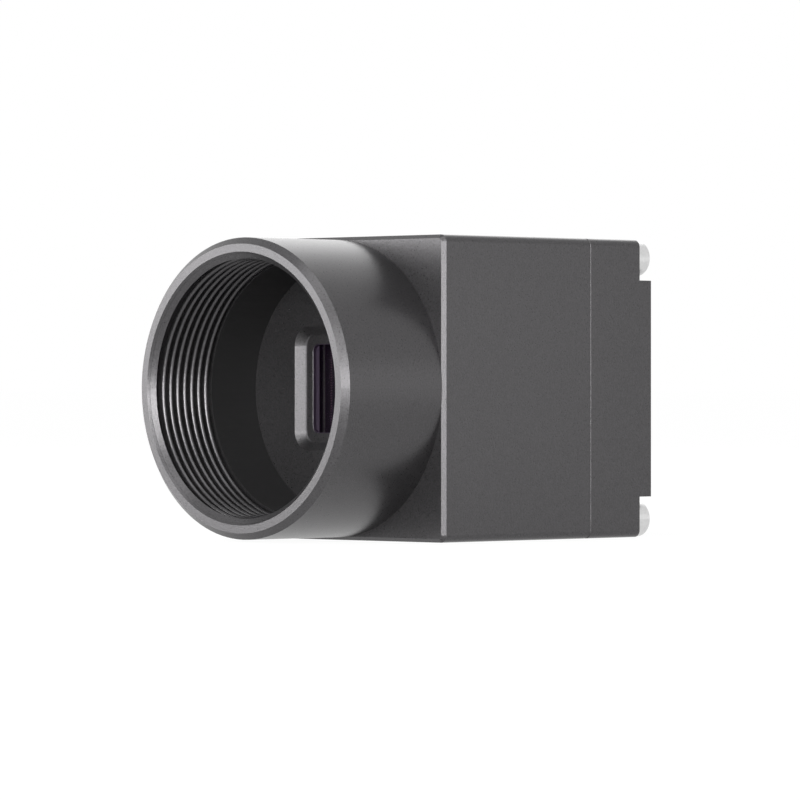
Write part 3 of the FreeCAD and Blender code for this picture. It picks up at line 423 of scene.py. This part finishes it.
def flat_frame(name, width, height, border, depth, thickness, slot, corner=0.0):
    """A rectangular frame across the optical axis; all sizes in millimetres."""
    start_piece()
    bpy.ops.mesh.primitive_plane_add(size=1.0, location=(0, 0, 0), rotation=(math.pi / 2, 0, 0))
    piece = bpy.context.object
    bpy.ops.object.transform_apply(location=True, rotation=True, scale=True)
    bpy.ops.object.mode_set(mode="EDIT")
    bpy.ops.mesh.select_all(action="SELECT")
    bpy.ops.transform.resize(value=(width * MM, 1, height * MM))
    if corner:
        facets = 1 + int(corner / ROUNDING_STEP)
        bpy.ops.mesh.bevel(offset=corner * MM, segments=facets, affect="VERTICES")
        bpy.ops.mesh.select_all(action="SELECT")
    bpy.ops.mesh.inset(thickness=border * MM)
    bpy.ops.mesh.delete(type="FACE")
    bpy.ops.mesh.select_all(action="SELECT")
    bpy.ops.mesh.extrude_region_move(TRANSFORM_OT_translate={"value": (0, thickness * MM, 0)})
    bpy.ops.mesh.select_all(action="SELECT")
    bpy.ops.transform.translate(value=(0, depth * MM, 0))
    face_outwards()
    finish_piece(piece, name, slot)


print("made a helper for flat frames")

# %% Thin frames on the package and the silicon
WELL_MARGIN = 1.6       # how much wider the well is than the silicon
STEP_DEPTH = 17.40      # the front of the step in the well

die_low, die_high = in_mm(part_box("sensor_die"))
die_width, die_height = die_high[0] - die_low[0], die_high[2] - die_low[2]
well_width, well_height = die_width + WELL_MARGIN, die_height + WELL_MARGIN
package_front = in_mm(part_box("sensor_package"))[0][1]
flat_frame("package_rim", well_width + 0.30, well_height + 0.30, border=0.13,
           depth=package_front - 0.012, thickness=0.012, slot="well_lining")
flat_frame("package_step", well_width - 0.02, well_height - 0.02, border=0.30,
           depth=STEP_DEPTH, thickness=0.40, slot="ceramic")
flat_frame("scribe_line", die_width, die_height, border=0.06,
           depth=die_low[1] - 0.01, thickness=0.01, slot="socket_steel")

# %% Thin frames on the window and the filter
WINDOW_MARGIN = 1.4     # how much wider the filter glass is than the window

pane_low, pane_high = in_mm(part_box("filter_glass"))
pane_front = pane_low[1]
window_width = pane_high[0] - pane_low[0] - WINDOW_MARGIN
window_height = pane_high[2] - pane_low[2] - WINDOW_MARGIN
flat_frame("window_wall", window_width + 0.09, window_height + 0.09, border=0.05,
           depth=pane_front - 0.365, thickness=0.36, slot="filter_edge", corner=0.69)
flat_frame("filter_border", window_width + 0.4, window_height + 1.35, border=0.64,
           depth=pane_front - 0.004, thickness=0.006, slot="filter_edge")

# %% Thin frames on the seal and the edge of the well
SEAL_SIDE = 11.0
SEAL_OPENING = 10.30

seal_front = in_mm(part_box("dust_seal"))[0][1]
flat_frame("seal_cut_edge", SEAL_SIDE, SEAL_SIDE, border=0.10,
           depth=seal_front - 0.006, thickness=0.012, slot="well_lining")
# The pale grey lining is a painted reflection on the seal's polished inner wall.
flat_frame("seal_inner_wall", SEAL_OPENING, SEAL_OPENING, border=0.02,
           depth=seal_front + 0.14, thickness=0.22, slot="seal_lining")
flat_frame("well_edge", well_width + 0.02, well_height + 0.02, border=0.02,
           depth=STEP_DEPTH + 0.01, thickness=0.06, slot="well_lining")

# %% [markdown]
# ## The bead in the seam
#
# Both halves of the housing have a small bevel at the seam, and together they make a groove. A
# bead of dark sealant fills it almost to the surface, so the seam shows as a thin soft line. It
# is the same kind of flat frame as the lines on the sensor, with rounded corners to stay inside
# the body's rounded edges.

# %% The sealant in the seam
BEAD_DEPTH = 0.03       # how far the bead lies under the surface

bead_side = 2 * (half_side / MM - BEAD_DEPTH)
flat_frame("seam_bead", bead_side, bead_side, border=0.25, depth=seam / MM - 0.10,
           thickness=0.20, slot="housing", corner=0.75)

# %% [markdown]
# ## The gold fingers on the package's step
#
# Fine gold wires join the silicon to a row of fingers on each side of the well. The wires are
# too thin to see, and the fingers show as a row of small pale dashes. One finger is a flat block
# with broken edges. Each could be placed by hand, but an Array modifier repeats the first one
# at an even pitch.

# %% Two rows of fingers
FINGER = (0.22 * MM, 0.02 * MM, 0.13 * MM)      # across, along the axis, and up
FINGER_PITCH = 0.25
FINGER_DEPTH = STEP_DEPTH - 0.01
FROM_WALL = 0.17        # from the well's wall to the middle of a finger
FROM_END = 0.7          # from the well's end to the first finger


def finger_row(name, side):
    """A row of fingers on one side of the well; side is 1 on the right and -1 on the left."""
    start_piece()
    bpy.ops.mesh.primitive_cube_add(size=1.0, location=(0, 0, 0))
    row = bpy.context.object
    bpy.ops.object.mode_set(mode="EDIT")
    bpy.ops.transform.resize(value=FINGER)
    across = side * (well_width / 2 - FROM_WALL)
    lowest = -(well_height / 2 - FROM_END)
    bpy.ops.transform.translate(value=(across * MM, FINGER_DEPTH * MM, lowest * MM))
    bpy.ops.mesh.bevel(offset=0.006 * MM, segments=1)
    bpy.ops.object.mode_set(mode="OBJECT")
    repeat = row.modifiers.new("repeat", "ARRAY")
    repeat.count = int((well_height - 2 * FROM_END) / FINGER_PITCH)
    repeat.use_relative_offset = False
    repeat.use_constant_offset = True
    repeat.constant_offset_displace = (0, 0, FINGER_PITCH * MM)
    bpy.ops.object.modifier_apply(modifier="repeat")
    finish_piece(row, name, "well_lining")


finger_row("fingers_left", -1)
finger_row("fingers_right", 1)

# %% [markdown]
# ## The studio's white surroundings
#
# What a dark metal skin shows is mostly the reflection of its surroundings. The background is
# white for the eye and for reflections. It could be as bright for all the light, but then it
# would flood the scene and wash out the lamps, so scattered light gets a dimmer grey. A Light
# Path node tells the kinds of light apart.

# %% The white surroundings
SCATTERED = 0.4     # strength of the background for scattered light


def sees_white(tree):
    """A socket: 1 for the eye, reflections and light through glass, 0 for scattered light."""
    path = tree.nodes.new("ShaderNodeLightPath")
    answer = path.outputs["Is Camera Ray"]
    for kind in ("Is Glossy Ray", "Is Transmission Ray"):
        either = tree.nodes.new("ShaderNodeMath")
        either.operation = "MAXIMUM"
        tree.links.new(answer, either.inputs[0])
        tree.links.new(path.outputs[kind], either.inputs[1])
        answer = either.outputs["Value"]
    return answer


world = bpy.data.worlds.new("white_room")
bpy.context.scene.world = world
world.use_nodes = True
room = world.node_tree
sky = room.nodes["Background"]
sky.inputs["Color"].default_value = (1, 1, 1, 1)
levels = room.nodes.new("ShaderNodeMapRange")
levels.inputs["To Min"].default_value = SCATTERED
levels.inputs["To Max"].default_value = 1.0
room.links.new(sees_white(room), levels.inputs["Value"])
room.links.new(levels.outputs["Result"], sky.inputs["Strength"])
print("world strength 1 for the eye and for reflections, %.1f for the rest" % SCATTERED)

# %% [markdown]
# ## The pale floor
#
# The camera stands on a sheet of pale paper. Under a plain lamp the sheet would end in a grey
# horizon, so for the eye and for reflections most of its light is a glow of its own, which
# meets the white background without a line. The rest is paper and takes a faint shadow. The
# sheet lies a hair under the base, because two faces in one plane flicker.

# %% The sheet of paper
FLOOR_SIZE = 40.0
FLOOR_GAP = 0.03 * MM
FLOOR_GLOW = 1.06
GLOW_SHARE = 0.9
PAPER = 0.9         # its whiteness, and its roughness too

start_piece()
bpy.ops.mesh.primitive_plane_add(size=FLOOR_SIZE, location=(0, 0, base - FLOOR_GAP))
floor = bpy.context.object
floor.name = "floor"
paper = bpy.data.materials.new("pale_paper")
paper.use_nodes = True
sheet = paper.node_tree
paper_shader = sheet.nodes["Principled BSDF"]
paper_shader.inputs["Base Color"].default_value = (PAPER, PAPER, PAPER, 1)
paper_shader.inputs["Roughness"].default_value = PAPER
glow = sheet.nodes.new("ShaderNodeEmission")
glow.inputs["Strength"].default_value = FLOOR_GLOW
share = sheet.nodes.new("ShaderNodeMath")
share.operation = "MULTIPLY"
share.inputs[1].default_value = GLOW_SHARE
mix = sheet.nodes.new("ShaderNodeMixShader")
sheet.links.new(sees_white(sheet), share.inputs[0])
sheet.links.new(share.outputs["Value"], mix.inputs["Fac"])
sheet.links.new(paper_shader.outputs["BSDF"], mix.inputs[1])
sheet.links.new(glow.outputs["Emission"], mix.inputs[2])
sheet.links.new(mix.outputs["Shader"], sheet.nodes["Material Output"].inputs["Surface"])
floor.data.materials.append(paper)
print("floor at %.2f mm" % ((base - FLOOR_GAP) / MM))

# %% [markdown]
# ## The lamps
#
# A small bright lamp would draw hard dots on the bevels, so the lamps are soft panels, and each
# is placed by what a face has to mirror. The large one on the left turns the mount's ring and
# the front's upper corner pale, and a weak strip beside it evens out the ring. Those in front
# and near the viewer are mirrored by the bevels, the thread and the edge beside the mount. The
# pair behind on the left draws a bright line along the top of the mount, and two more fill in
# the top and the right side. The panels marked as glints show in reflections alone, so that
# they don't light the inside of the bore, which has to stay dark.

# %% Soft panels
MIDDLE = (0, 0.5 * back, 0)
BESIDE = (half_side, -0.008, 0)     # a point beside the mount, level with the right side


def soft_panel(name, direction, distance, width, height, power, target=MIDDLE, glints=False):
    """A soft lamp of a size in metres, that faces a target from a direction."""
    lamp = bpy.data.lights.new(name, "AREA")
    lamp.shape = "RECTANGLE"
    lamp.size = width
    lamp.size_y = height
    lamp.energy = power
    holder = bpy.data.objects.new(name, lamp)
    bpy.context.scene.collection.objects.link(holder)
    way = Vector(direction).normalized()
    holder.location = Vector(target) + way * distance
    holder.rotation_euler = way.to_track_quat("Z", "Y").to_euler()
    holder.visible_diffuse = not glints
    print(name, "at", rounded(holder.location))


soft_panel("panel_left", (-1.0, -1.0, 0.28), 0.60, 0.45, 0.45, 2.8)
soft_panel("panel_left_low", (-0.75, -0.66, -0.005), 0.50, 0.12, 0.12, 0.22)
soft_panel("panel_front", (0.35, -0.93, 0.10), 0.70, 0.30, 0.30, 4.6)
soft_panel("panel_behind", (-0.55, 0.75, 0.40), 0.70, 0.40, 0.40, 0.50)
soft_panel("panel_behind_high", (-0.35, 0.71, 0.61), 0.70, 0.40, 0.40, 0.12)
soft_panel("panel_viewer", (0.72, -0.70, 0.06), 0.90, 0.50, 0.20, 3.4, glints=True)
soft_panel("panel_front_high", (0.35, -0.93, 0.35), 0.70, 0.30, 0.30, 3.0, glints=True)
soft_panel("panel_top", (0.147, -0.498, 0.853), 0.70, 0.30, 0.30, 0.60, glints=True)
soft_panel("panel_right", (0.706, 0.708, 0), 0.15, 0.07, 0.07, 0.008, BESIDE, glints=True)

# %% [markdown]
# ## The camera that takes the picture
#
# It looks at the front right corner from the object's own height, from half a metre away through
# a long lens, so the square body shows its front and its right side with little perspective. A
# shift of the lens moves the object in the frame without tilting its upright edges.

# %% The picture's camera
TURN = math.radians(44.901)
DISTANCE = 490.58 * MM
SIDESTEP = 4.117 * MM
BODY_FRONT = 12.7 * MM

ahead = Vector((-math.sin(TURN), math.cos(TURN), 0))
right = Vector((math.cos(TURN), math.sin(TURN), 0))
corner = Vector((half_side, BODY_FRONT, 0))
eye = corner - ahead * DISTANCE - right * SIDESTEP
lens = bpy.data.cameras.new("picture_camera")
lens.lens = 235.13
lens.sensor_width = 36.0
lens.shift_y = -0.0143
lens.clip_start = 0.01
picture = bpy.data.objects.new("picture_camera", lens)
bpy.context.scene.collection.objects.link(picture)
picture.location = eye
picture.rotation_euler = (-ahead).to_track_quat("Z", "Y").to_euler()
bpy.context.scene.camera = picture
bpy.context.scene.view_settings.view_transform = "Standard"
print("camera at", rounded(eye, 4))
